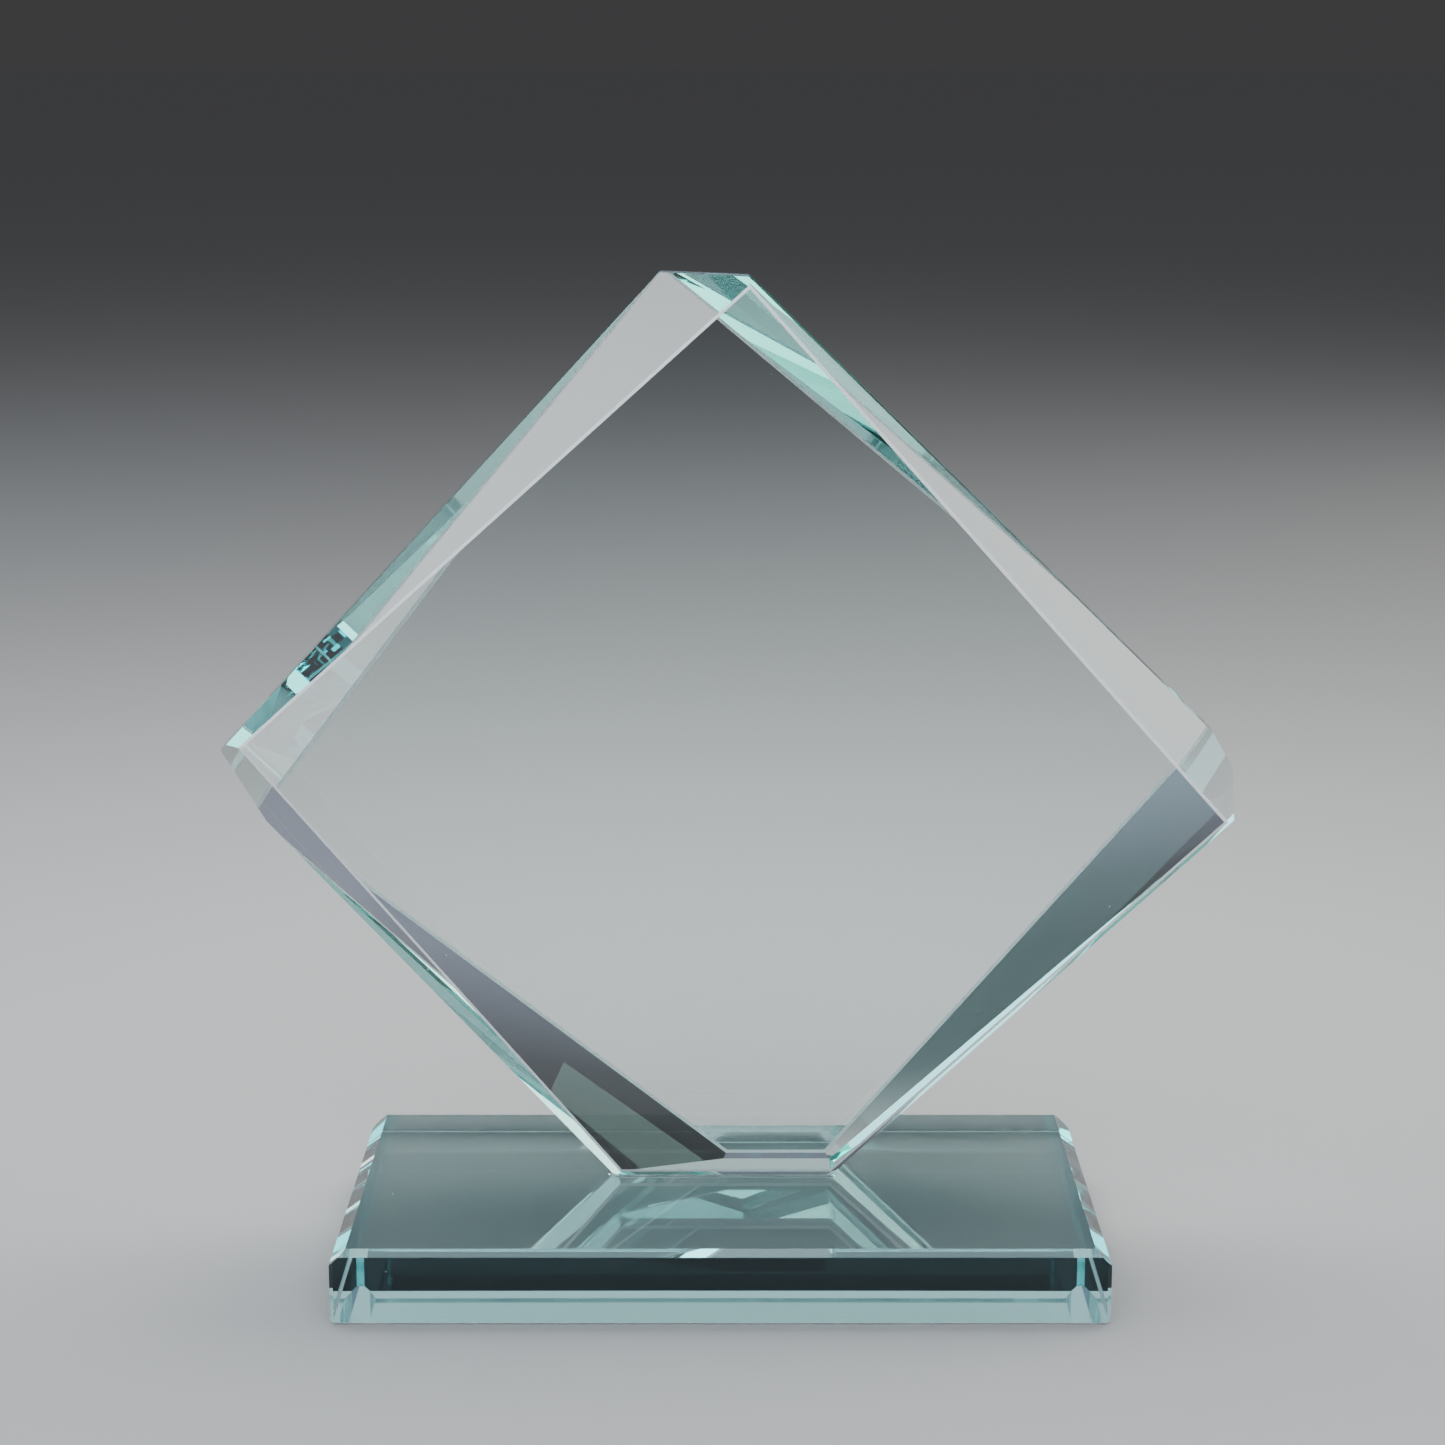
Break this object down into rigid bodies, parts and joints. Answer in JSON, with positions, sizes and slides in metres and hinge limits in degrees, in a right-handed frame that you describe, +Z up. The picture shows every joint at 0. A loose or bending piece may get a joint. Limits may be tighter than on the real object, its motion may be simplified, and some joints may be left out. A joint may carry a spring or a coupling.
{
  "type": "glass award plaque",
  "caption": "Faceted diamond-shaped glass plaque with tapering bevels, standing on its cut corner on a bevelled rectangular glass base.",
  "frame": {"origin": "middle of the base's underside, on the surface that the award stands on", "axes": "+Z up, -Y towards the viewer and out of the plaque's front face, +X to the viewer's right"},
  "size_m": [0.2018, 0.078, 0.1967],
  "materials": {
    "plate_glass": "polished",
    "base_glass": "polished",
    "clear_adhesive": "cured clear"
  },
  "bodies": {
    "root": {"base": "base_glass", "plaque": "plate_glass", "adhesive_bond": "clear_adhesive"}
  },
  "joints": []
}
